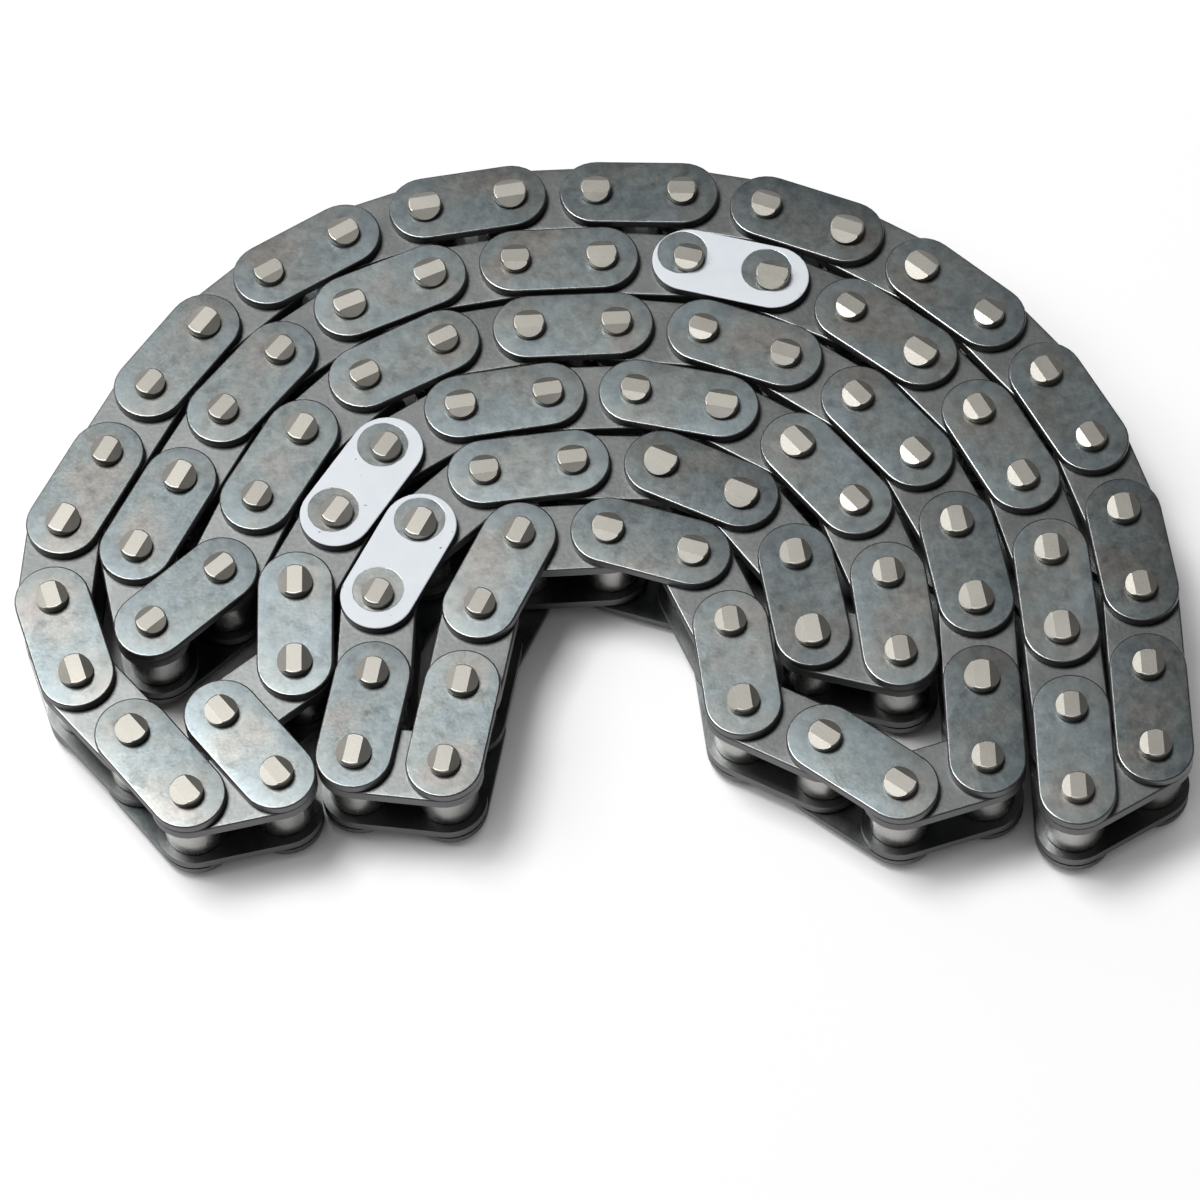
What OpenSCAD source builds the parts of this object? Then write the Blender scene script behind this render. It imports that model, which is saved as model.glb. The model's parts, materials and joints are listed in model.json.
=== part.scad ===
// Endless simplex roller timing chain, lying on its side and folded into six nested rows.
// Outer links are two plates riveted on two pins. Inner links are two plates pressed on two bushes,
// and a roller turns on every bush.

/* [Chain] */
// Distance from pin to pin
pitch = 9.525; // [9.5:0.005:12.7]

/* [Plates] */
// Height of every plate, which is also the diameter of its round ends
plate_height = 8.1; // [7:0.05:8.2]
// Thickness of the outer plates
outer_plate_t = 1; // [0.8:0.05:1.5]
// Thickness of the inner plates
inner_plate_t = 1.3; // [0.8:0.05:1.6]
// Edge that the punch rolls over on the outward face of every plate
edge_roll = 0.2; // [0.05:0.05:0.4]

/* [Widths] */
// Clear width between the inner plates, where the sprocket tooth runs
inner_width = 5.72; // [4:0.02:8]
// Side play between an inner plate and the outer plate beside it
side_play = 0.15; // [0.05:0.05:0.3]
// End play of a roller between the inner plates, at each end
roller_play = 0.1; // [0.05:0.05:0.3]

/* [Pins] */
// Diameter of the pins
pin_d = 3.28; // [2.6:0.02:3.6]
// Length of pin that stands out of each outer plate
pin_stand = 1.05; // [0.6:0.05:1.5]
// Width of the flat left along the middle of a riveted pin head
rivet_flat = 1.6; // [0.6:0.1:2]
// How far the riveting spreads a pin head all round
rivet_spread = 0.12; // [0:0.02:0.3]
// Slope of the facets that the riveting tool presses on both sides of that flat
rivet_slope = 25; // [10:1:40]
// Broken edge round pin heads and roller ends
rim = 0.15; // [0.05:0.05:0.3]

/* [Bushes and rollers] */
// Wall of the bushes
bush_wall = 0.75; // [0.5:0.05:0.9]
// Outside diameter of the rollers
roller_d = 6.35; // [5.9:0.05:7]
// Radial clearance of a pin in its bush and of a roller on its bush
running_clearance = 0.06; // [0.02:0.01:0.1]
// Radial clearance of a pin or bush pressed into its plate
press_clearance = 0.02; // [0.01:0.01:0.03]

/* [Hidden] */
$fn = 48;

// Diameters that follow from the fits
bush_bore = pin_d + 2 * running_clearance;
bush_d = bush_bore + 2 * bush_wall;
roller_bore = bush_d + 2 * running_clearance;

// Widths across the chain, from the inside out
inner_over = inner_width + 2 * inner_plate_t;
outer_between = inner_over + 2 * side_play;
outer_over = outer_between + 2 * outer_plate_t;
pin_length = outer_over + 2 * pin_stand;
roller_length = inner_width - 2 * roller_play;
mid_z = pin_length / 2;

// The fold as it lies. Rows are numbered from the outside, 0, to the inside, 5. Each row follows an arch:
// a straight top, a round shoulder at each end of it and a straight leg below each shoulder.
// Lengths are in pitches and headings in degrees, counted from +X towards +Y.
row_step = 0.913;
arch_top = 1;
left_shoulder = 0.45;
right_shoulder = 1.2;
left_lean = [62, 62, 62, 62.5, 62, 78];
right_lean = [90, 90, 90, 90, 90, 84];
first_station = -7.15;
inmost = 5;

// How the chain turns from one row into the next: the heading of the link that turns,
// and of the link after it where that one doesn't run back parallel to the last
turn_1_2 = -151;
turn_2_3 = -79;
lead_3 = 41;
turn_3_6 = -164;
lead_6 = 142;
turn_6_5 = 171;
turn_5_4 = -17;
lead_4 = 95;
tail_headings = [-90, -143, -52, -169];

function along(a) = [cos(a), sin(a)];
function last(list, back = 0) = list[len(list) - 1 - back];

// Point of a row's arch at a station, which is the length from the left end of its straight top
function leg_or_shoulder(centre, r, a_end, side, length) =
  let (a = min(length / r * 180 / PI, a_end))
  let (beyond = max(length - r * a_end * PI / 180, 0))
  centre + r * [side * sin(a), cos(a)] + beyond * [side * cos(a_end), -sin(a_end)];
function arch(row, s) =
  let (rise = (inmost - row) * row_step)
  s < 0 ? leg_or_shoulder([0, -left_shoulder], left_shoulder + rise, left_lean[row], -1, -s) :
  s > arch_top ?
    leg_or_shoulder([arch_top, -right_shoulder], right_shoulder + rise, right_lean[row], 1, s - arch_top) :
  [s, rise];

// Station one pitch from a pin, found by halving the stretch between near and far
function step_from(row, pin, near, far, halvings = 44) =
  let (middle = (near + far) / 2)
  halvings == 0 ? middle :
  norm(arch(row, middle) - pin) < 1 ?
    step_from(row, pin, middle, far, halvings - 1) :
    step_from(row, pin, near, middle, halvings - 1);

// Station nearest to a pin, among stations along the half of the row where it lies
function nearest_station(row, pin, way) =
  let (stations = [for (s = [0:0.1:12]) -way * s])
  let (gaps = [for (s = stations) norm(arch(row, s) - pin)])
  stations[search(min(gaps), gaps)[0]];

// Pins along a row until it has its count. way is 1 from left to right and -1 from right to left.
function run(row, pins, s, way, count) =
  len(pins) == count ? pins :
  let (next = step_from(row, last(pins), s, s + 1.6 * way))
  run(row, concat(pins, [arch(row, next)]), next, way, count);

// A row that starts with a turn from the row before it
function turn_back(before, row, way, count, turn, lead) =
  let (first = last(before) + along(turn))
  let (back = last(before, 1) - last(before))
  let (second = first + (is_undef(lead) ? back : along(lead)))
  run(row, [first, second], nearest_station(row, second, way), way, count);

// Pins reached from a start by a list of headings
function follow(start, headings, i = 0) =
  i == len(headings) ? [] :
  let (next = start + along(headings[i]))
  concat([next], follow(next, headings, i + 1));

// The two pins of three links that bridge two points in an even outward bow
function bridge(from, to) =
  let (span = to - from)
  let (heading = atan2(span.y, span.x))
  let (first = from + along(heading + acos((norm(span) - 1) / 2)))
  [first, first + along(heading)];

row_1 = run(0, [arch(0, first_station)], first_station, 1, 20);
row_2 = turn_back(row_1, 1, -1, 18, turn_1_2);
row_3 = turn_back(row_2, 2, 1, 16, turn_2_3, lead_3);
row_6 = turn_back(row_3, 5, -1, 10, turn_3_6, lead_6);
row_5 = turn_back(row_6, 4, 1, 10, turn_6_5);
row_4 = turn_back(row_5, 3, -1, 11, turn_5_4, lead_4);
tail = follow(last(row_4), tail_headings);
tail_end = last(tail) + last(tail, 2) - last(tail, 1);
closing = bridge(tail_end, row_1[0]);
laid = concat(row_1, row_2, row_3, row_6, row_5, row_4, tail, [tail_end], closing);

// Pin centres with the chain's box centred on the origin
laid_x = [for (p = laid) p.x];
laid_y = [for (p = laid) p.y];
laid_centre = [min(laid_x) + max(laid_x), min(laid_y) + max(laid_y)] / 2;
pins = [for (p = laid) pitch * (p - laid_centre)];
count = len(pins);
function link_heading(i) =
  let (way = pins[(i + 1) % count] - pins[i])
  atan2(way.y, way.x);

// Link i runs from pin i to the next. Outer links have even numbers and inner links odd ones.
// At each free turn a lead and a trail outer link swing side by side and carry the inner link between.
turns = [["right", 18], ["middle", 62], ["left", 86]];
swinging = [for (t = turns) each [t[1], t[1] + 1, t[1] + 2]];
marked = [28, 66, 82];
spinning = [for (j = [54:61]) j];
function free(i) = len(search(i, swinging)) > 0;
fixed_outer = [for (i = [0:2:count - 1]) if (!free(i)) i];
unmarked = [for (i = fixed_outer) if (len(search(i, marked)) == 0) i];
fixed_inner = [for (i = [1:2:count - 1]) if (!free(i)) i];
fixed_bushes = [for (i = fixed_inner) each [i, (i + 1) % count]];
fixed_rollers = [for (j = fixed_bushes) if (len(search(j, spinning)) == 0) j];

turn_pieces = [
  "lead_upper_plate", "lead_lower_plate", "lead_pins", "trail_upper_plate", "trail_lower_plate", "trail_pins",
  "turn_upper_plate", "turn_lower_plate", "turn_bushes", "turn_roller_1", "turn_roller_2"
];

// Half of a plate's round end, on the side away from the link
module plate_end(t) {
  r = plate_height / 2;
  rotate(90)
    rotate_extrude(angle = 180)
      polygon([[0, 0], [r, 0], [r, t - edge_roll], [r - edge_roll, t], [0, t]]);
}

// Straight-sided plate with round ends, flat face down, on the pins at 0 and one pitch along X
module plate(t, bore) {
  r = plate_height / 2;
  difference() {
    union() {
      plate_end(t);
      translate([pitch, 0, 0])
        rotate(180)
          plate_end(t);
      rotate([90, 0, 90])
        linear_extrude(pitch)
          polygon([[-r, 0], [r, 0], [r, t - edge_roll], [r - edge_roll, t], [edge_roll - r, t], [-r, t - edge_roll]]);
    }
    for (x = [0, pitch])
      translate([x, 0, -t])
        cylinder(d = bore, h = 3 * t);
  }
}

// Wedge outside one riveted facet at the upper end of a pin
module facet_cut() {
  edge = rivet_flat / 2;
  rotate([90, 0, 90])
    linear_extrude(2 * pin_d, center = true)
      polygon([
        [edge, pin_length], [edge, pin_length + rim], [pin_d, pin_length + rim],
        [pin_d, pin_length - (pin_d - edge) * tan(rivet_slope)]
      ]);
}

// Pin standing on its lower end, with both ends riveted along the link. Each head is spread outside its plate,
// so that the plate can't come off, and narrows to the pin again at the face of the plate.
module pin() {
  r = pin_d / 2;
  head = r + rivet_spread;
  neck = pin_stand - rivet_spread;
  difference() {
    rotate_extrude()
      polygon([
        [0, 0], [head - rim, 0], [head, rim], [head, neck], [r, pin_stand],
        [r, pin_length - pin_stand], [head, pin_length - neck], [head, pin_length - rim],
        [head - rim, pin_length], [0, pin_length]
      ]);
    for (side = [0, 1], end = [0, 1])
      translate([0, 0, end * pin_length])
        mirror([0, 0, end])
          mirror([0, side, 0])
            facet_cut();
  }
}

// Places a piece on a link, on the upper or the lower side of the chain, a given width apart
module on_link(i) {
  translate(pins[i])
    rotate(link_heading(i))
      children();
}
module upper_side(i, width) {
  on_link(i)
    translate([0, 0, mid_z + width / 2])
      children();
}
module lower_side(i, width) {
  on_link(i)
    translate([0, 0, mid_z - width / 2])
      mirror([0, 0, 1])
        children();
}

module outer_upper_plate(i) {
  color("#53565c")
    upper_side(i, outer_between)
      plate(outer_plate_t, pin_d + 2 * press_clearance);
}
module outer_lower_plate(i) {
  color("#53565c")
    lower_side(i, outer_between)
      plate(outer_plate_t, pin_d + 2 * press_clearance);
}
module timing_mark_plate(i) {
  color("#dde3e8")
    upper_side(i, outer_between)
      plate(outer_plate_t, pin_d + 2 * press_clearance);
}
module inner_upper_plate(i) {
  color("#74777a")
    upper_side(i, inner_width)
      plate(inner_plate_t, bush_d + 2 * press_clearance);
}
module inner_lower_plate(i) {
  color("#74777a")
    lower_side(i, inner_width)
      plate(inner_plate_t, bush_d + 2 * press_clearance);
}

// The two pins of outer link i
module link_pins(i) {
  color("#bab3a8")
    on_link(i)
      for (x = [0, pitch])
        translate([x, 0, 0])
          pin();
}

// Bush on pin j, flush with the outward faces of its inner plates
module bush(j) {
  color("#9b9b99")
    translate([pins[j].x, pins[j].y, mid_z - inner_over / 2])
      rotate_extrude()
        translate([bush_bore / 2, 0])
          square([bush_wall, inner_over]);
}

// Roller on the bush of pin j
module roller(j) {
  inside = roller_bore / 2;
  outside = roller_d / 2;
  color("#a9aaab")
    translate([pins[j].x, pins[j].y, mid_z - roller_length / 2])
      rotate_extrude()
        polygon([
          [inside, 0], [outside - rim, 0], [outside, rim], [outside, roller_length - rim],
          [outside - rim, roller_length], [inside, roller_length]
        ]);
}

module outer_plates_upper() {
  for (i = unmarked)
    outer_upper_plate(i);
}
module outer_plates_lower() {
  for (i = fixed_outer)
    outer_lower_plate(i);
}
module timing_mark_plates() {
  for (i = marked)
    timing_mark_plate(i);
}
module fixed_pins() {
  for (i = fixed_outer)
    link_pins(i);
}
module inner_plates_upper() {
  for (i = fixed_inner)
    inner_upper_plate(i);
}
module inner_plates_lower() {
  for (i = fixed_inner)
    inner_lower_plate(i);
}
module bushes() {
  for (j = fixed_bushes)
    bush(j);
}
module rollers() {
  for (j = fixed_rollers)
    roller(j);
}

outer_plates_upper();
outer_plates_lower();
timing_mark_plates();
fixed_pins();  // pins
inner_plates_upper();
inner_plates_lower();
bushes();
rollers();
for (n = [1:len(spinning)])
  roller(spinning[n - 1]);
for (t = turns) {
  lead = t[1];
  turn = lead + 1;
  trail = lead + 2;
  outer_upper_plate(lead);
  outer_lower_plate(lead);
  link_pins(lead);
  outer_upper_plate(trail);
  outer_lower_plate(trail);
  link_pins(trail);
  inner_upper_plate(turn);
  inner_lower_plate(turn);
  for (j = [turn, trail]) bush(j);
  roller(turn);
  roller(trail);
}
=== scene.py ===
import json
import math
import random

import bpy
from mathutils import Euler, Matrix, Quaternion, Vector

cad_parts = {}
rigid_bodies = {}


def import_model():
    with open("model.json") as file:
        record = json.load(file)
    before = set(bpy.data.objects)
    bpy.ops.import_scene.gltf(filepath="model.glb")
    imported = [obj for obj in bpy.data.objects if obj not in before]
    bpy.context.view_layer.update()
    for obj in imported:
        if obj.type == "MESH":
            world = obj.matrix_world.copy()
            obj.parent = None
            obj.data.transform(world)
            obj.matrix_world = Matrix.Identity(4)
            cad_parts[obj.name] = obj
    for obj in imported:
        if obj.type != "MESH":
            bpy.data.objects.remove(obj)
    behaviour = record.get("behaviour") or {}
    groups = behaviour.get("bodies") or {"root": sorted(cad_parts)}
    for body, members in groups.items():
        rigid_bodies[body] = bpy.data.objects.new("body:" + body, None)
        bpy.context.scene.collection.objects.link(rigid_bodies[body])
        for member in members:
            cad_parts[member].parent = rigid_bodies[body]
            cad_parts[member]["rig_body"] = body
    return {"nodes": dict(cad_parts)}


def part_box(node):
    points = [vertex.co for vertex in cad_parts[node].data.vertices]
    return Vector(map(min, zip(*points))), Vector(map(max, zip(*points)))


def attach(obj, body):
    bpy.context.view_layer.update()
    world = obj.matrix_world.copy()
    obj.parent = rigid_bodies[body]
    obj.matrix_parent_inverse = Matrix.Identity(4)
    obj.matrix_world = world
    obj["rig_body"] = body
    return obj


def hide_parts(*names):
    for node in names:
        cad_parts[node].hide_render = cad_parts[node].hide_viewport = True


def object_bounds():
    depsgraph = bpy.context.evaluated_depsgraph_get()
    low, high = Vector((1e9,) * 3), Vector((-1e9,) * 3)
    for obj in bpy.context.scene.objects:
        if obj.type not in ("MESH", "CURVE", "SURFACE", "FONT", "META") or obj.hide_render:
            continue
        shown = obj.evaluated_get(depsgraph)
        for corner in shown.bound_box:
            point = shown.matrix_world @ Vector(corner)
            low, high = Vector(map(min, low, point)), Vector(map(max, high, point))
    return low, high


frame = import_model()
cad_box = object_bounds()
MM = 0.001


# Bushes. Each is curled from bright steel strip and pressed into a pair of inner plates, its ends flush
# with their outward faces. They sit inside the rollers, where little of them shows, so the solids stay.
class Finish:
    """A value in a material's nodes. Sums on it add Math nodes, and node() adds any other kind."""

    def __init__(self, tree, socket=None):
        self.tree = tree
        self.socket = socket

    def node(self, kind, settings, sockets, output=0):
        """Adds a node: its settings first, then the values or links of its sockets."""
        made = self.tree.nodes.new(kind)
        for name, value in settings.items():
            if name == "stops":
                for place, colour in value[2:]:
                    made.color_ramp.elements.new(place)
                for stop, (place, colour) in zip(made.color_ramp.elements, value):
                    stop.position = place
                    stop.color = (*colour, 1)
            else:
                setattr(made, name, value)
        for name, value in sockets.items():
            self.feed(made.inputs[name], value)
        return Finish(self.tree, made.outputs[output])

    def feed(self, socket, value):
        """Links a value to a socket, or sets the socket where the value is a plain number or colour."""
        if isinstance(value, Finish):
            self.tree.links.new(value.socket, socket)
        else:
            socket.default_value = value

    def math(self, operation, first, second=0.0):
        return self.node("ShaderNodeMath", {"operation": operation}, {0: first, 1: second})

    def __add__(self, other):
        return self.math("ADD", self, other)

    __radd__ = __add__

    def __mul__(self, other):
        return self.math("MULTIPLY", self, other)

    __rmul__ = __mul__

    def __sub__(self, other):
        return self.math("SUBTRACT", self, other)

    def __rsub__(self, other):
        return self.math("SUBTRACT", other, self)

    def __pow__(self, other):
        return self.math("POWER", self, other)

    def __abs__(self):
        return self.math("ABSOLUTE", self)


def new_finish(name):
    """A new material: itself, its shader, and the value that its nodes start from."""
    material = bpy.data.materials.new(name)
    material.use_nodes = True
    return material, material.node_tree.nodes["Principled BSDF"], Finish(material.node_tree)


def place_in_part(start):
    """Where a point lies in the part, in metres."""
    return start.node("ShaderNodeTexCoord", {}, {}, "Object")


def cloud(start, where, feature, detail=3.0, shift=0.0):
    """Even noise from 0 to 1 with features of a given size, and a shift that makes it another cloud."""
    sockets = {"Vector": where, "W": shift, "Scale": 1 / feature, "Detail": detail}
    return start.node("ShaderNodeTexNoise", {"noise_dimensions": "4D"}, sockets, "Fac")


def ease(start, value, low, high):
    """0 where a value is under low, 1 where it is over high, and an even slope between."""
    sockets = {"Value": value, "From Min": low, "From Max": high}
    return start.node("ShaderNodeMapRange", {"interpolation_type": "SMOOTHSTEP"}, sockets)


def blend(start, share, first, second):
    """A colour that goes from the first to the second as the share goes from 0 to 1."""
    sockets = {"Factor": share, "A": first, "B": second}
    return start.node("ShaderNodeMix", {"data_type": "RGBA"}, sockets, "Result")


def shade(start, colour, share):
    """A colour made darker or lighter by a share."""
    sockets = {"Vector": colour, "Scale": share}
    return start.node("ShaderNodeVectorMath", {"operation": "SCALE"}, sockets, "Vector")


def relief(start, height, depth):
    """Normals that follow a height, which counts in units of a real depth."""
    return start.node("ShaderNodeBump", {}, {"Height": height, "Distance": depth, "Strength": 1.0}, "Normal")


bush_steel, shader, start = new_finish("bush_steel")
where = place_in_part(start)
grain = cloud(start, where, 0.4 * MM)
film = cloud(start, where, 3 * MM)
start.feed(shader.inputs["Base Color"], blend(start, film, (0.52, 0.52, 0.51, 1), (0.6, 0.59, 0.57, 1)))
start.feed(shader.inputs["Roughness"], 0.24 + 0.16 * film)
start.feed(shader.inputs["Normal"], relief(start, grain, 0.004 * MM))
shader.inputs["Metallic"].default_value = 1.0

bush_nodes = [name for name in frame["nodes"] if name.endswith("bushes")]
for name in bush_nodes:
    frame["nodes"][name].data.materials.clear()
    frame["nodes"][name].data.materials.append(bush_steel)


# Rollers. Each is a ring rolled from strip, so that a fine seam runs down its side, hardened and tumbled
# bright, with broken rims. It turns freely on its bush, and shows only where the chain folds back.
def select_alone(thing):
    """Makes one object the only one selected, and the active one."""
    bpy.ops.object.select_all(action="DESELECT")
    thing.select_set(True)
    bpy.context.view_layer.objects.active = thing


def pick(thing, test):
    """Selects, in edit mode, the corners of a mesh whose places pass a test."""
    bpy.ops.object.mode_set(mode="EDIT")
    bpy.ops.mesh.select_mode(type="VERT")
    bpy.ops.mesh.select_all(action="DESELECT")
    bpy.ops.object.mode_set(mode="OBJECT")
    for corner in thing.data.vertices:
        corner.select = test(corner.co)
    bpy.ops.object.mode_set(mode="EDIT")


def pick_edges(thing, test):
    """Selects, in edit mode, the edges of a mesh whose two ends pass a test."""
    bpy.ops.object.mode_set(mode="EDIT")
    bpy.ops.mesh.select_mode(type="EDGE")
    bpy.ops.mesh.select_all(action="DESELECT")
    bpy.ops.object.mode_set(mode="OBJECT")
    corners = thing.data.vertices
    for edge in thing.data.edges:
        edge.select = test(*[corners[i].co for i in edge.vertices])
    bpy.ops.object.mode_set(mode="EDIT")


def finish_model(thing, smooth_angle):
    """Closes the modelling of a piece: faces outwards, edges sharp where they turn by more than an angle,
    and large flat faces shaded flat up to their rounded edges."""
    bpy.ops.mesh.select_all(action="SELECT")
    bpy.ops.mesh.remove_doubles(threshold=0.001 * MM)
    bpy.ops.mesh.normals_make_consistent(inside=False)
    bpy.ops.object.mode_set(mode="OBJECT")
    bpy.ops.object.shade_smooth_by_angle(angle=smooth_angle)
    flats = thing.modifiers.new("flats", "WEIGHTED_NORMAL")
    flats.keep_sharp = True
    flats.weight = 100
    bpy.ops.object.modifier_apply(modifier=flats.name)


def middles(node):
    """The middle of each separate solid of a CAD node, from left to right."""
    copy = frame["nodes"][node].copy()
    copy.data = copy.data.copy()
    bpy.context.scene.collection.objects.link(copy)
    select_alone(copy)
    bpy.ops.object.mode_set(mode="EDIT")
    bpy.ops.mesh.select_all(action="SELECT")
    bpy.ops.mesh.remove_doubles(threshold=0.001 * MM)
    bpy.ops.mesh.separate(type="LOOSE")
    bpy.ops.object.mode_set(mode="OBJECT")
    found = []
    for solid in list(bpy.context.selected_objects):
        corners = [Vector(corner) for corner in solid.bound_box]
        low = Vector(map(min, *corners))
        high = Vector(map(max, *corners))
        found.append((low + high) / 2)
        bpy.data.objects.remove(solid)
    return sorted(found, key=lambda middle: (round(middle.x, 5), round(middle.y, 5)))


def box_size(node):
    """The size of a CAD node along X, Y and Z."""
    low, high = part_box(node)
    return high - low


def set_out(models, node, places, finish):
    """Copies models to their places, joins the copies into one piece, and lets that stand for a CAD node.
    Each copy carries a tone of its own, from 0 to 1, which also picks its model."""
    bpy.ops.object.select_all(action="DESELECT")
    for place in places:
        own_tone = chance.random()
        copy = models[int(own_tone * len(models))].copy()
        copy.data = copy.data.copy()
        copy.matrix_world = place
        tone = copy.data.attributes.new("tone", "FLOAT", "POINT")
        tone.data.foreach_set("value", [own_tone] * len(copy.data.vertices))
        bpy.context.scene.collection.objects.link(copy)
        copy.select_set(True)
        bpy.context.view_layer.objects.active = copy
    bpy.ops.object.join()
    bpy.ops.object.transform_apply(location=True, rotation=True, scale=True)
    piece = bpy.context.object
    piece.name = node + "_finished"
    piece.data.materials.clear()
    piece.data.materials.append(finish)
    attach(piece, frame["nodes"][node]["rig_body"])
    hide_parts(node)


chance = random.Random(7)
roller_nodes = [name for name in frame["nodes"] if "roller" in name]
roller_d = box_size("inner_row_roller_1").x
roller_length = box_size("inner_row_roller_1").z
roller_wall = 0.6 * MM
roller_rim = 0.15 * MM
seam_width = 0.12 * MM
seam_depth = 0.06 * MM

bpy.ops.object.select_all(action="DESELECT")
bpy.ops.mesh.primitive_circle_add(vertices=32, radius=roller_d / 2 - roller_wall)
roller = bpy.context.object
bpy.ops.object.mode_set(mode="EDIT")
bpy.ops.mesh.select_all(action="SELECT")
wall_share = roller_d / (roller_d - 2 * roller_wall)
bpy.ops.mesh.extrude_edges_move()
bpy.ops.transform.resize(value=(wall_share, wall_share, 1), center_override=(0, 0, 0))
bpy.ops.mesh.select_all(action="SELECT")
bpy.ops.transform.translate(value=(0, 0, -roller_length / 2))
bpy.ops.mesh.extrude_region_move(TRANSFORM_OT_translate={"value": (0, 0, roller_length)})
bpy.ops.mesh.select_all(action="SELECT")
bpy.ops.mesh.normals_make_consistent(inside=False)


def on_side(corner):
    return math.hypot(corner.x, corner.y) > roller_d / 2 - 0.5 * roller_rim


def at_seam(corner):
    return on_side(corner) and abs(corner.x) < 0.5 * seam_width and corner.y > 0


pick_edges(roller, lambda a, b: on_side(a) and on_side(b) and abs(a.z - b.z) < roller_rim)
bpy.ops.mesh.bevel(offset=roller_rim, segments=2, affect="EDGES")
pick_edges(roller, lambda a, b: at_seam(a) and at_seam(b) and abs(a.z - b.z) > roller_rim)
bpy.ops.mesh.bevel(offset=seam_width / 2, segments=2, affect="EDGES")
pick(roller, lambda corner: on_side(corner) and abs(corner.x) < 0.1 * seam_width and corner.y > 0)
bpy.ops.transform.translate(value=(0, -seam_depth, 0))
finish_model(roller, math.radians(35))


def carried(start, name):
    """A value that each copy or each face carries under a name."""
    return start.node("ShaderNodeAttribute", {"attribute_name": name}, {}, "Fac")


roller_steel, shader, start = new_finish("roller_steel")
where = place_in_part(start)
tone = carried(start, "tone")
film = cloud(start, where, 2.5 * MM, shift=9 * tone)
grain = cloud(start, where, 0.3 * MM)
start.feed(shader.inputs["Base Color"], blend(start, film, (0.34, 0.335, 0.325, 1), (0.46, 0.45, 0.43, 1)))
start.feed(shader.inputs["Roughness"], 0.2 + 0.14 * film)
start.feed(shader.inputs["Normal"], relief(start, grain, 0.004 * MM))
shader.inputs["Metallic"].default_value = 1.0

for name in roller_nodes:
    seats = [
        Matrix.Translation(middle) @ Matrix.Rotation(chance.uniform(0, 2 * math.pi), 4, "Z")
        for middle in middles(name)
    ]
    set_out([roller], name, seats, roller_steel)
bpy.data.objects.remove(roller)


# Inner plates. Punched from strip with straight sides and round ends, tumbled to a plain dull grey, and
# pressed on the bushes. They lie a step lower than the outer plates and show between them.
def plate_model(thickness, bore):
    """A plate with its pins along X, its inward face on z = 0 and its outward face up. The punch rolls the
    outward edge over, and the bores have a small broken edge. A map named plate holds x and y in
    millimetres."""
    height = plate_height
    end_sides = 32
    near = 0.01 * MM
    bpy.ops.object.select_all(action="DESELECT")
    bpy.ops.mesh.primitive_circle_add(vertices=end_sides, radius=bore / 2, location=(-pitch / 2, 0, 0))
    plate = bpy.context.object
    bpy.ops.object.transform_apply(location=True)
    bpy.ops.object.mode_set(mode="EDIT")
    bpy.ops.mesh.select_all(action="SELECT")
    bpy.ops.mesh.extrude_edges_move()
    end_middle = (-pitch / 2, 0, 0)
    bpy.ops.transform.resize(value=(height / bore, height / bore, 1), center_override=end_middle)

    def beyond_end(corner):
        outside = math.hypot(corner.x + pitch / 2, corner.y) > (height + bore) / 4
        return outside and corner.x > -pitch / 2 + near

    # The half of the ring that faces the other pin is laid flat on the middle of the plate
    pick(plate, beyond_end)
    stretch = 1 / math.cos(2 * math.pi / end_sides)
    bpy.ops.transform.resize(value=(0, stretch, 1), center_override=(0, 0, 0))
    bpy.ops.object.mode_set(mode="OBJECT")
    mirror = plate.modifiers.new("other_end", "MIRROR")
    mirror.merge_threshold = 0.001 * MM
    bpy.ops.object.modifier_apply(modifier=mirror.name)
    bpy.ops.object.mode_set(mode="EDIT")
    bpy.ops.mesh.select_all(action="SELECT")
    bpy.ops.mesh.extrude_region_move(TRANSFORM_OT_translate={"value": (0, 0, thickness)})
    bpy.ops.mesh.select_all(action="SELECT")
    bpy.ops.mesh.normals_make_consistent(inside=False)

    def on_top(corner):
        return corner.z > thickness - near

    def on_outline(corner):
        past_pin = max(abs(corner.x) - pitch / 2, 0)
        return math.hypot(past_pin, corner.y) > height / 2 - near

    def on_bore(corner):
        return math.hypot(abs(corner.x) - pitch / 2, corner.y) < bore / 2 + near

    pick_edges(plate, lambda a, b: on_top(a) and on_top(b) and on_outline(a) and on_outline(b))
    bpy.ops.mesh.bevel(offset=edge_roll, segments=3, affect="EDGES")
    pick_edges(plate, lambda a, b: on_top(a) and on_top(b) and on_bore(a) and on_bore(b))
    bpy.ops.mesh.bevel(offset=bore_break, segments=1, affect="EDGES")
    finish_model(plate, math.radians(30))
    plate_map = plate.data.uv_layers.new(name="plate")
    for corner in plate.data.loops:
        spot = plate.data.vertices[corner.vertex_index].co
        plate_map.data[corner.index].uv = (spot.x / MM, spot.y / MM)
    return plate


def link_places(node, pins, level, turned_over):
    """A place for each plate of a CAD node: between the two pins nearest to it, along them, at a level."""
    places = []
    for middle in middles(node):
        first, second = sorted(pins, key=lambda pin: (pin.xy - middle.xy).length)[:2]
        heading = math.atan2(second.y - first.y, second.x - first.x)
        centre = (first + second) / 2
        place = Matrix.Translation((centre.x, centre.y, level)) @ Matrix.Rotation(heading, 4, "Z")
        if turned_over:
            place = place @ Matrix.Rotation(math.pi, 4, "X")
        places.append(place)
    return places


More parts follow.
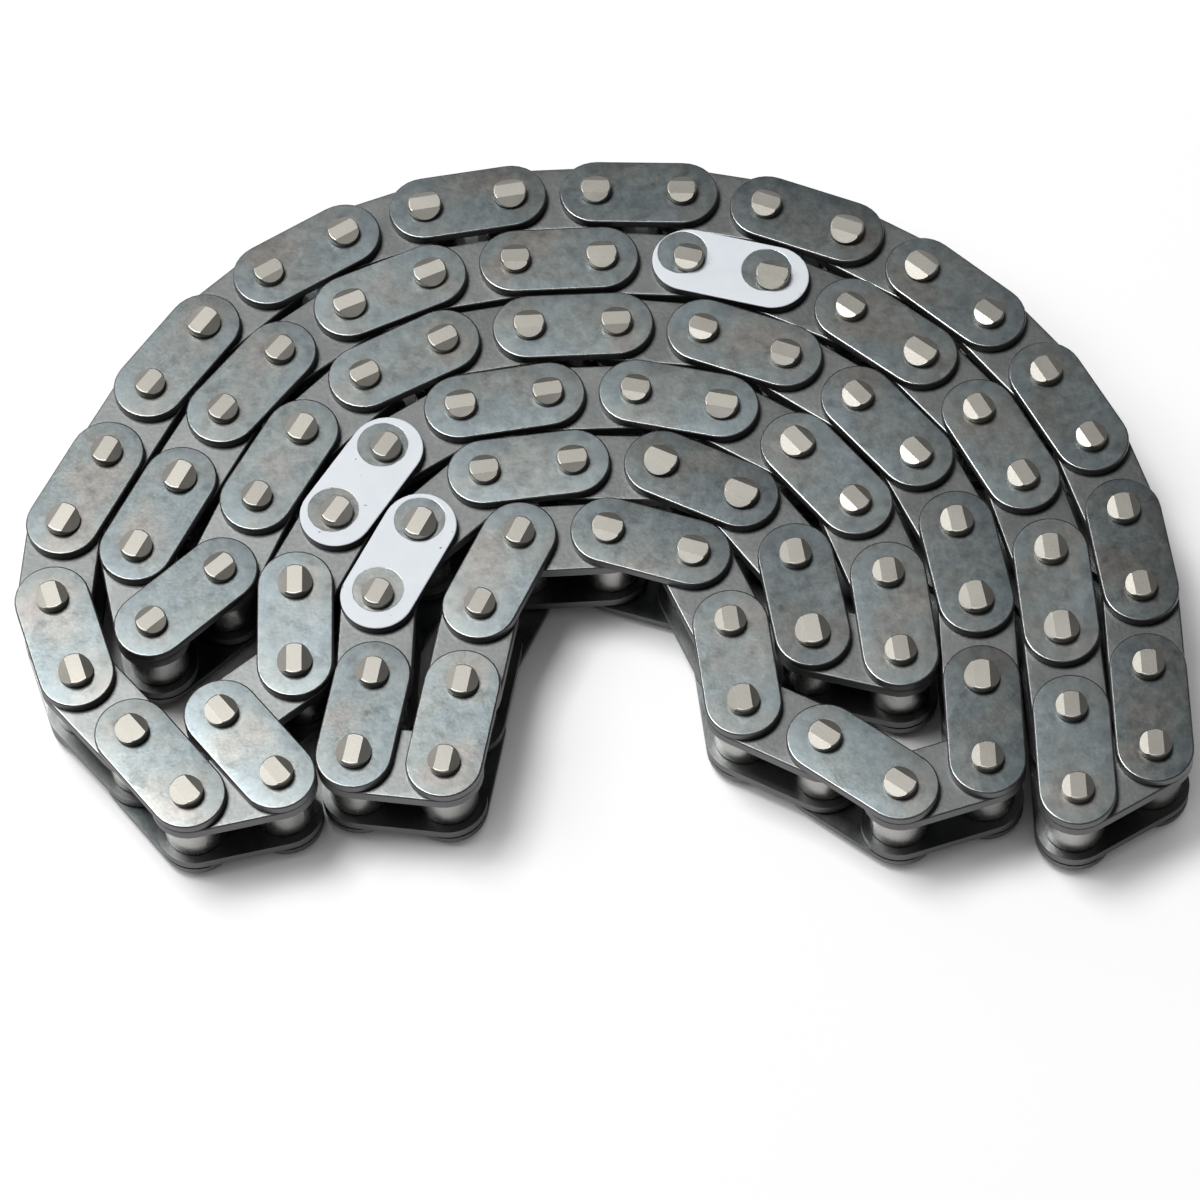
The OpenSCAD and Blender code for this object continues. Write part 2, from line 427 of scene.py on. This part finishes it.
pin_nodes = [name for name in frame["nodes"] if name.endswith("pins")]
pin_middles = [middle for name in pin_nodes for middle in middles(name)]
lead_ends = middles("right_lead_pins")
pitch = (lead_ends[0].xy - lead_ends[1].xy).length
lead_span = abs(lead_ends[0].x - lead_ends[1].x)
plate_height = box_size("right_lead_upper_plate").x - lead_span
turn_ends = middles("right_turn_bushes")
bush_d = box_size("right_turn_bushes").x - abs(turn_ends[0].x - turn_ends[1].x)
press_clearance = 0.02 * MM
edge_roll = 0.2 * MM
bore_break = 0.04 * MM
inner_plate_t = box_size("right_turn_upper_plate").z
inner_plate = plate_model(inner_plate_t, bush_d + 2 * press_clearance)


def plate_spots(start):
    """Two distances on a plate, in millimetres: from the nearer pin's axis, and in from the outline."""
    spot = start.node("ShaderNodeUVMap", {"uv_map": "plate"}, {})
    along = start.node("ShaderNodeSeparateXYZ", {}, {"Vector": spot}, "X")
    across = start.node("ShaderNodeSeparateXYZ", {}, {"Vector": spot}, "Y")
    past_pin = abs(along) - 0.5 * pitch / MM
    from_pin = (past_pin * past_pin + across * across) ** 0.5
    past_end = start.math("MAXIMUM", past_pin, 0.0)
    from_edge = 0.5 * plate_height / MM - (past_end * past_end + across * across) ** 0.5
    return from_pin, from_edge


# Side walls of the plates: partly dull sheared steel, partly painted shade on walls that face the gaps
shear_and_shade_steel = (0.15, 0.148, 0.153, 1)

tumbled_grey, shader, start = new_finish("tumbled_grey")
where = place_in_part(start)
tone = carried(start, "tone")
_, from_edge = plate_spots(start)
mottle = cloud(start, where, 5 * MM, shift=9 * tone)
grain = cloud(start, where, 0.4 * MM, detail=5.0)
worn = 1 - ease(start, from_edge, 0.1, 0.28)
# The side walls take the darker wall colour, which is sheared steel and painted shade together
shear_and_shade = 1 - ease(start, from_edge, 0.03, 0.08)
colour = blend(start, mottle, (0.147, 0.158, 0.158, 1), (0.193, 0.198, 0.193, 1))
level = 0.62 + 0.2 * tone + 0.46 * grain + 0.2 * worn
face_colour = shade(start, colour, level)
start.feed(shader.inputs["Base Color"], blend(start, shear_and_shade, face_colour, shear_and_shade_steel))
start.feed(shader.inputs["Roughness"], 0.32 + 0.12 * mottle - 0.06 * worn + 0.2 * shear_and_shade)
start.feed(shader.inputs["Normal"], relief(start, grain, 0.012 * MM))
shader.inputs["Metallic"].default_value = 1.0

plate_nodes = [name for name in frame["nodes"] if "plate" in name]
inner_nodes = [name for name in plate_nodes if name.startswith("inner_plates") or "_turn_" in name]
for name in inner_nodes:
    low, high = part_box(name)
    is_lower = "lower" in name
    places = link_places(name, pin_middles, high.z if is_lower else low.z, is_lower)
    set_out([inner_plate], name, places, tumbled_grey)
bpy.data.objects.remove(inner_plate)


# Pins. Bright hardened steel, pressed through the outer plates and standing a little proud of them. The
# riveting tool leaves a flat along the link on each end, with a sloping facet on both sides of it, and
# spreads the end over its plate: hardly on some pins, and to a wide bead on others.
rivet_spread = 0.12 * MM
pin_d = box_size("right_lead_pins").x - lead_span - 2 * rivet_spread
pin_length = box_size("right_lead_pins").z
pin_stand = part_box("pins")[1].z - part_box("outer_plates_upper")[1].z
rivet_flat = 1.6 * MM
pin_rim = 0.2 * MM


def pin_model(spread, slope):
    """A pin along Z about the origin, its riveted flats along X, its facets at a slope, its heads spread."""
    near = 0.005 * MM
    head_d = pin_d + 2 * spread
    shank = pin_length - 2 * pin_stand
    bpy.ops.object.select_all(action="DESELECT")
    bpy.ops.mesh.primitive_cylinder_add(vertices=32, radius=pin_d / 2, depth=shank)
    pin = bpy.context.object

    def ring_at(height):
        """A test for the edges of the ring at a height."""
        return lambda a, b: abs(a.z - height) < near and abs(b.z - height) < near

    for end in (-1, 1):
        pick(pin, lambda corner: end * corner.z > shank / 2 - near)
        bpy.ops.mesh.extrude_region_move(TRANSFORM_OT_translate={"value": (0, 0, end * spread)})
        bpy.ops.transform.resize(value=(head_d / pin_d, head_d / pin_d, 1), center_override=(0, 0, 0))
        rest = (0, 0, end * (pin_stand - spread))
        bpy.ops.mesh.extrude_region_move(TRANSFORM_OT_translate={"value": rest})
        pick_edges(pin, ring_at(end * (shank / 2 + spread)))
        bpy.ops.mesh.bevel(offset=spread / 2, segments=2, affect="EDGES")
        pick_edges(pin, ring_at(end * pin_length / 2))
        bpy.ops.mesh.bevel(offset=pin_rim, segments=3, affect="EDGES")
        for side in (-1, 1):
            bpy.ops.mesh.select_all(action="SELECT")
            bpy.ops.mesh.bisect(
                plane_co=(0, side * rivet_flat / 2, end * pin_length / 2),
                plane_no=(0, side * math.sin(slope), end * math.cos(slope)),
                use_fill=True,
                clear_outer=True,
                threshold=0.0001 * MM,
            )

    def beside_facet(first, second):
        """Whether an edge lies on the plane of a facet."""
        on_plane = 0.002 * MM
        drops = [pin_length / 2 - abs(corner.z) for corner in (first, second)]
        runs = [(abs(corner.y) - rivet_flat / 2) * math.tan(slope) for corner in (first, second)]
        return max(abs(drop - run) for drop, run in zip(drops, runs)) < on_plane

    pick_edges(pin, beside_facet)
    bpy.ops.mesh.mark_sharp()
    finish_model(pin, math.radians(30))
    end_faces = pin.data.attributes.new("end", "FLOAT", "FACE")
    flat_faces = pin.data.attributes.new("flat", "FLOAT", "FACE")
    for face in pin.data.polygons:
        end_faces.data[face.index].value = abs(face.normal.z) > 0.5
        flat_faces.data[face.index].value = abs(face.normal.z) > 0.99
    return pin


# Four kinds of riveting: a share of the spread in the CAD, and the slope of the facets in degrees
rivetings = [(0.3, 24), (0.6, 30), (1.0, 26), (1.9, 32)]
pins = [pin_model(share * rivet_spread, math.radians(slope)) for share, slope in rivetings]

riveted_steel, shader, start = new_finish("riveted_steel")
where = place_in_part(start)
tone = carried(start, "tone")
film = cloud(start, where, 2.2 * MM, shift=9 * tone)
grain = cloud(start, where, 0.25 * MM, detail=4.0)
on_end = carried(start, "end")
on_flat = carried(start, "flat")
colour = blend(start, film, (0.41, 0.394, 0.35, 1), (0.49, 0.47, 0.43, 1))
# Painted shade: the sides are darker, partly for oxide on the shank and partly as painted shade, and the
# flats on top are painted darker than the facets
level = (0.72 + 0.28 * tone + 0.24 * grain) * (0.7 + 0.22 * on_end - 0.24 * on_flat)
start.feed(shader.inputs["Base Color"], shade(start, colour, level))
start.feed(shader.inputs["Roughness"], 0.42 + 0.12 * film + 0.02 * on_flat)
start.feed(shader.inputs["Normal"], relief(start, grain, 0.008 * MM))
shader.inputs["Metallic"].default_value = 1.0

for name in pin_nodes:
    plates = "outer_plates_lower" if name == "pins" else name.replace("pins", "lower_plate")
    low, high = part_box(name)
    places = [
        place @ Matrix.Translation((end * pitch / 2, 0, 0))
        for place in link_places(plates, pin_middles, (low.z + high.z) / 2, False)
        for end in (-1, 1)
    ]
    set_out(pins, name, places, riveted_steel)
for pin in pins:
    bpy.data.objects.remove(pin)


# Outer plates. Punched like the inner ones, which bows them a little, and blued in hot oil, which leaves a
# satin gunmetal with blue, grey and brown clouds. Rubbing has brightened the rolled edges, and the riveting
# has marked the bores.
outer_plate_t = box_size("right_lead_upper_plate").z
outer_plate = plate_model(outer_plate_t, pin_d + 2 * press_clearance)


def bow(start, tone):
    """How far the punch has bowed a plate, in millimetres. The tone of a plate sets its share of the most
    bow along and across, either way."""
    most_along = 0.0009
    most_across = 0.0019
    spot = start.node("ShaderNodeUVMap", {"uv_map": "plate"}, {})
    along = start.node("ShaderNodeSeparateXYZ", {}, {"Vector": spot}, "X")
    across = start.node("ShaderNodeSeparateXYZ", {}, {"Vector": spot}, "Y")
    long_bow = 2 * start.math("FRACT", 3.7 * tone) - 1
    cross_bow = 2 * start.math("FRACT", 7.3 * tone) - 1
    return most_along * long_bow * along * along + most_across * cross_bow * across * across


def blued_steel_parts(start):
    """Colour, roughness and height in millimetres of blued steel, which also shows where paint is off."""
    where = place_in_part(start)
    tone = carried(start, "tone")
    from_pin, from_edge = plate_spots(start)
    heat = cloud(start, where, 7 * MM, detail=3.0, shift=23 * tone)
    stain = cloud(start, where, 1.1 * MM, detail=4.0, shift=5 * tone)
    grain = cloud(start, where, 0.35 * MM, detail=5.0)
    brown = (0.206, 0.199, 0.188)
    grey = (0.184, 0.198, 0.192)
    blue = (0.163, 0.188, 0.196)
    rubbed = (0.25, 0.247, 0.24, 1)
    stops = [(0.37, brown), (0.47, grey), (0.63, blue)]
    cooled_first = 1 - ease(start, from_edge, 0.3, 2.2)
    sockets = {"Fac": heat + 0.07 * cooled_first}
    colour = start.node("ShaderNodeValToRGB", {"stops": stops}, sockets, "Color")
    worn = 1 - ease(start, from_edge, 0.1, 0.26)
    # The side walls take the darker wall colour, which is sheared steel and painted shade together
    shear_and_shade = 1 - ease(start, from_edge, 0.03, 0.08)
    pressed = 1 - ease(start, from_pin, 0.5 * pin_d / MM + 0.1, 0.5 * pin_d / MM + 0.9)
    smudge = ease(start, cloud(start, where, 1.7 * MM, detail=6.0, shift=11 * tone), 0.52, 0.74)
    level = 0.34 + 0.52 * tone + 0.52 * stain + 0.58 * grain - 0.28 * smudge - 0.1 * pressed
    face_colour = blend(start, 0.8 * worn, shade(start, colour, level), rubbed)
    roughness = 0.25 + 0.1 * stain + 0.06 * heat - 0.04 * worn + 0.2 * shear_and_shade
    return blend(start, shear_and_shade, face_colour, shear_and_shade_steel), roughness, bow(start, tone) + 0.008 * grain


blued_steel, shader, start = new_finish("blued_steel")
colour, roughness, height = blued_steel_parts(start)
start.feed(shader.inputs["Base Color"], colour)
start.feed(shader.inputs["Roughness"], roughness)
start.feed(shader.inputs["Normal"], relief(start, height, MM))
shader.inputs["Metallic"].default_value = 1.0

outer_nodes = [name for name in plate_nodes if name.startswith("outer_plates")]
swing_nodes = [name for name in plate_nodes if name.endswith("plate") and "_turn_" not in name]
chance.seed(29)
for name in outer_nodes + swing_nodes:
    low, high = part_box(name)
    is_lower = "lower" in name
    places = link_places(name, pin_middles, high.z if is_lower else low.z, is_lower)
    set_out([outer_plate], name, places, blued_steel)


# Timing marks. Three outer plates are brushed with white paint, so that the chain can be lined up with the
# marks on its sprockets. A mask has kept the paint off two discs on each plate, a little off the pins.
marks = link_places("timing_mark_plates", pin_middles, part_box("timing_mark_plates")[0].z, False)
mask_slips = [(-0.38 * MM, 0.53 * MM, 0), (0.05 * MM, 0.73 * MM, 0), (-0.63 * MM, 0.95 * MM, 0)]
mask_r = 2.75 * MM

marking_paint, shader, start = new_finish("marking_paint")
steel_colour, steel_roughness, steel_height = blued_steel_parts(start)
where = place_in_part(start)
tone = carried(start, "tone")
_, from_edge = plate_spots(start)
ragged = cloud(start, where, 0.9 * MM, detail=3.0)
streak = cloud(start, where, 2.4 * MM, detail=4.0, shift=9 * tone)
from_mask = 1.0
for mark, slip in zip(marks, mask_slips):
    for end in (-1, 1):
        centre = mark @ Vector((end * pitch / 2, 0, outer_plate_t)) + Vector(slip)
        sockets = {0: where, 1: centre}
        reach = start.node("ShaderNodeVectorMath", {"operation": "DISTANCE"}, sockets, "Value")
        from_mask = start.math("MINIMUM", from_mask, reach)
masked = 1 - ease(start, from_mask + 0.2 * MM * ragged, mask_r + 0.06 * MM, mask_r + 0.14 * MM)
chipped = ease(start, cloud(start, where, 0.7 * MM, detail=2.0, shift=4.0), 0.73, 0.75)
coated = ease(start, from_edge, 0.03, 0.08)
paint = coated * (1 - masked) * (1 - chipped)
colour = blend(start, streak, (0.545, 0.583, 0.625, 1), (0.64, 0.67, 0.7, 1))
start.feed(shader.inputs["Base Color"], blend(start, paint, steel_colour, colour))
start.feed(shader.inputs["Roughness"], steel_roughness * (1 - paint) + paint * (0.34 + 0.2 * streak))
start.feed(shader.inputs["Metallic"], 1 - paint)
start.feed(shader.inputs["Normal"], relief(start, steel_height + 0.025 * paint + 0.005 * streak, MM))

set_out([outer_plate], "timing_mark_plates", marks, marking_paint)
bpy.data.objects.remove(outer_plate)


# The bench. A plain white sheet far wider than the chain, which shows as white to the camera and in the
# metal, and still takes the shadow of the chain.
bench_size = 6.0
shadow_reach = 25 * MM
white_to_camera = 0.6
white_in_metal = 0.2
bpy.ops.object.select_all(action="DESELECT")
bpy.ops.mesh.primitive_plane_add(size=bench_size, location=(0, 0, cad_box[0].z))
bench = bpy.context.object
bench.name = "bench"
bench_white, shader, start = new_finish("bench_white")
shader.inputs["Base Color"].default_value = (0.9, 0.9, 0.9, 1)
shader.inputs["Roughness"].default_value = 0.9
shader.inputs["Specular IOR Level"].default_value = 0.1
seen_by_camera = start.node("ShaderNodeLightPath", {}, {}, "Is Camera Ray")
seen_in_metal = start.node("ShaderNodeLightPath", {}, {}, "Is Glossy Ray")
white = start.node("ShaderNodeEmission", {}, {"Color": (1, 1, 1, 1), "Strength": 1.0}, "Emission")
open_sky = start.node("ShaderNodeAmbientOcclusion", {"samples": 8}, {"Distance": shadow_reach}, "AO")
own_white = start.math("MAXIMUM", white_to_camera * seen_by_camera, white_in_metal * seen_in_metal)
share = (open_sky ** 2.0) * own_white
surface = Finish(bench_white.node_tree, shader.outputs["BSDF"])
mixed = start.node("ShaderNodeMixShader", {}, {0: share, 1: surface, 2: white}, "Shader")
start.feed(bench_white.node_tree.nodes["Material Output"].inputs["Surface"], mixed)
bench.data.materials.append(bench_white)


# Light. The main soft box is high on the left, so that the plates shine most at the lower left and shadows
# fall to the right. Two weaker ones, lower on the left and at the back left, show on the rims and the
# facets of the pins, and the room is dim.
def soft_box(name, towards, distance, size, power):
    """A square light that shines on the chain from a direction."""
    lamp = bpy.data.lights.new(name, "AREA")
    lamp.shape = "SQUARE"
    lamp.size = size
    lamp.energy = power
    holder = bpy.data.objects.new(name, lamp)
    bpy.context.scene.collection.objects.link(holder)
    direction = Vector(towards).normalized()
    holder.location = distance * direction
    holder.rotation_euler = direction.to_track_quat("Z", "Y").to_euler()


soft_box("key_box", towards=(-0.3, 0.2, 0.93), distance=1.1, size=0.4, power=11.0)
soft_box("left_box", towards=(-0.62, 0.0, 0.78), distance=1.1, size=0.45, power=3.4)
soft_box("back_box", towards=(-0.62, 0.66, 0.42), distance=1.1, size=0.6, power=0.7)
room = bpy.data.worlds.new("room")
room.use_nodes = True
room.node_tree.nodes["Background"].inputs["Color"].default_value = (1, 1, 1, 1)
room.node_tree.nodes["Background"].inputs["Strength"].default_value = 0.1
bpy.context.scene.world = room
bpy.context.scene.view_settings.view_transform = "Standard"

# Camera. It looks down on the chain from its open side, with a long lens.
aim = Vector((0.6, -14.3, 12.72)) * MM
elevation = math.radians(60.27)
turn = math.radians(2.5)
roll = math.radians(-4.43)
distance = 529.3 * MM
camera_data = bpy.data.cameras.new("camera")
camera_data.sensor_width = 36
camera_data.lens = 150.6
camera = bpy.data.objects.new("camera", camera_data)
bpy.context.scene.collection.objects.link(camera)
level = Euler((math.pi / 2 - elevation, 0, turn)).to_quaternion()
camera.rotation_mode = "QUATERNION"
camera.rotation_quaternion = level @ Quaternion((0, 0, 1), roll)
camera.location = aim + level @ Vector((0, 0, distance))
bpy.context.scene.camera = camera
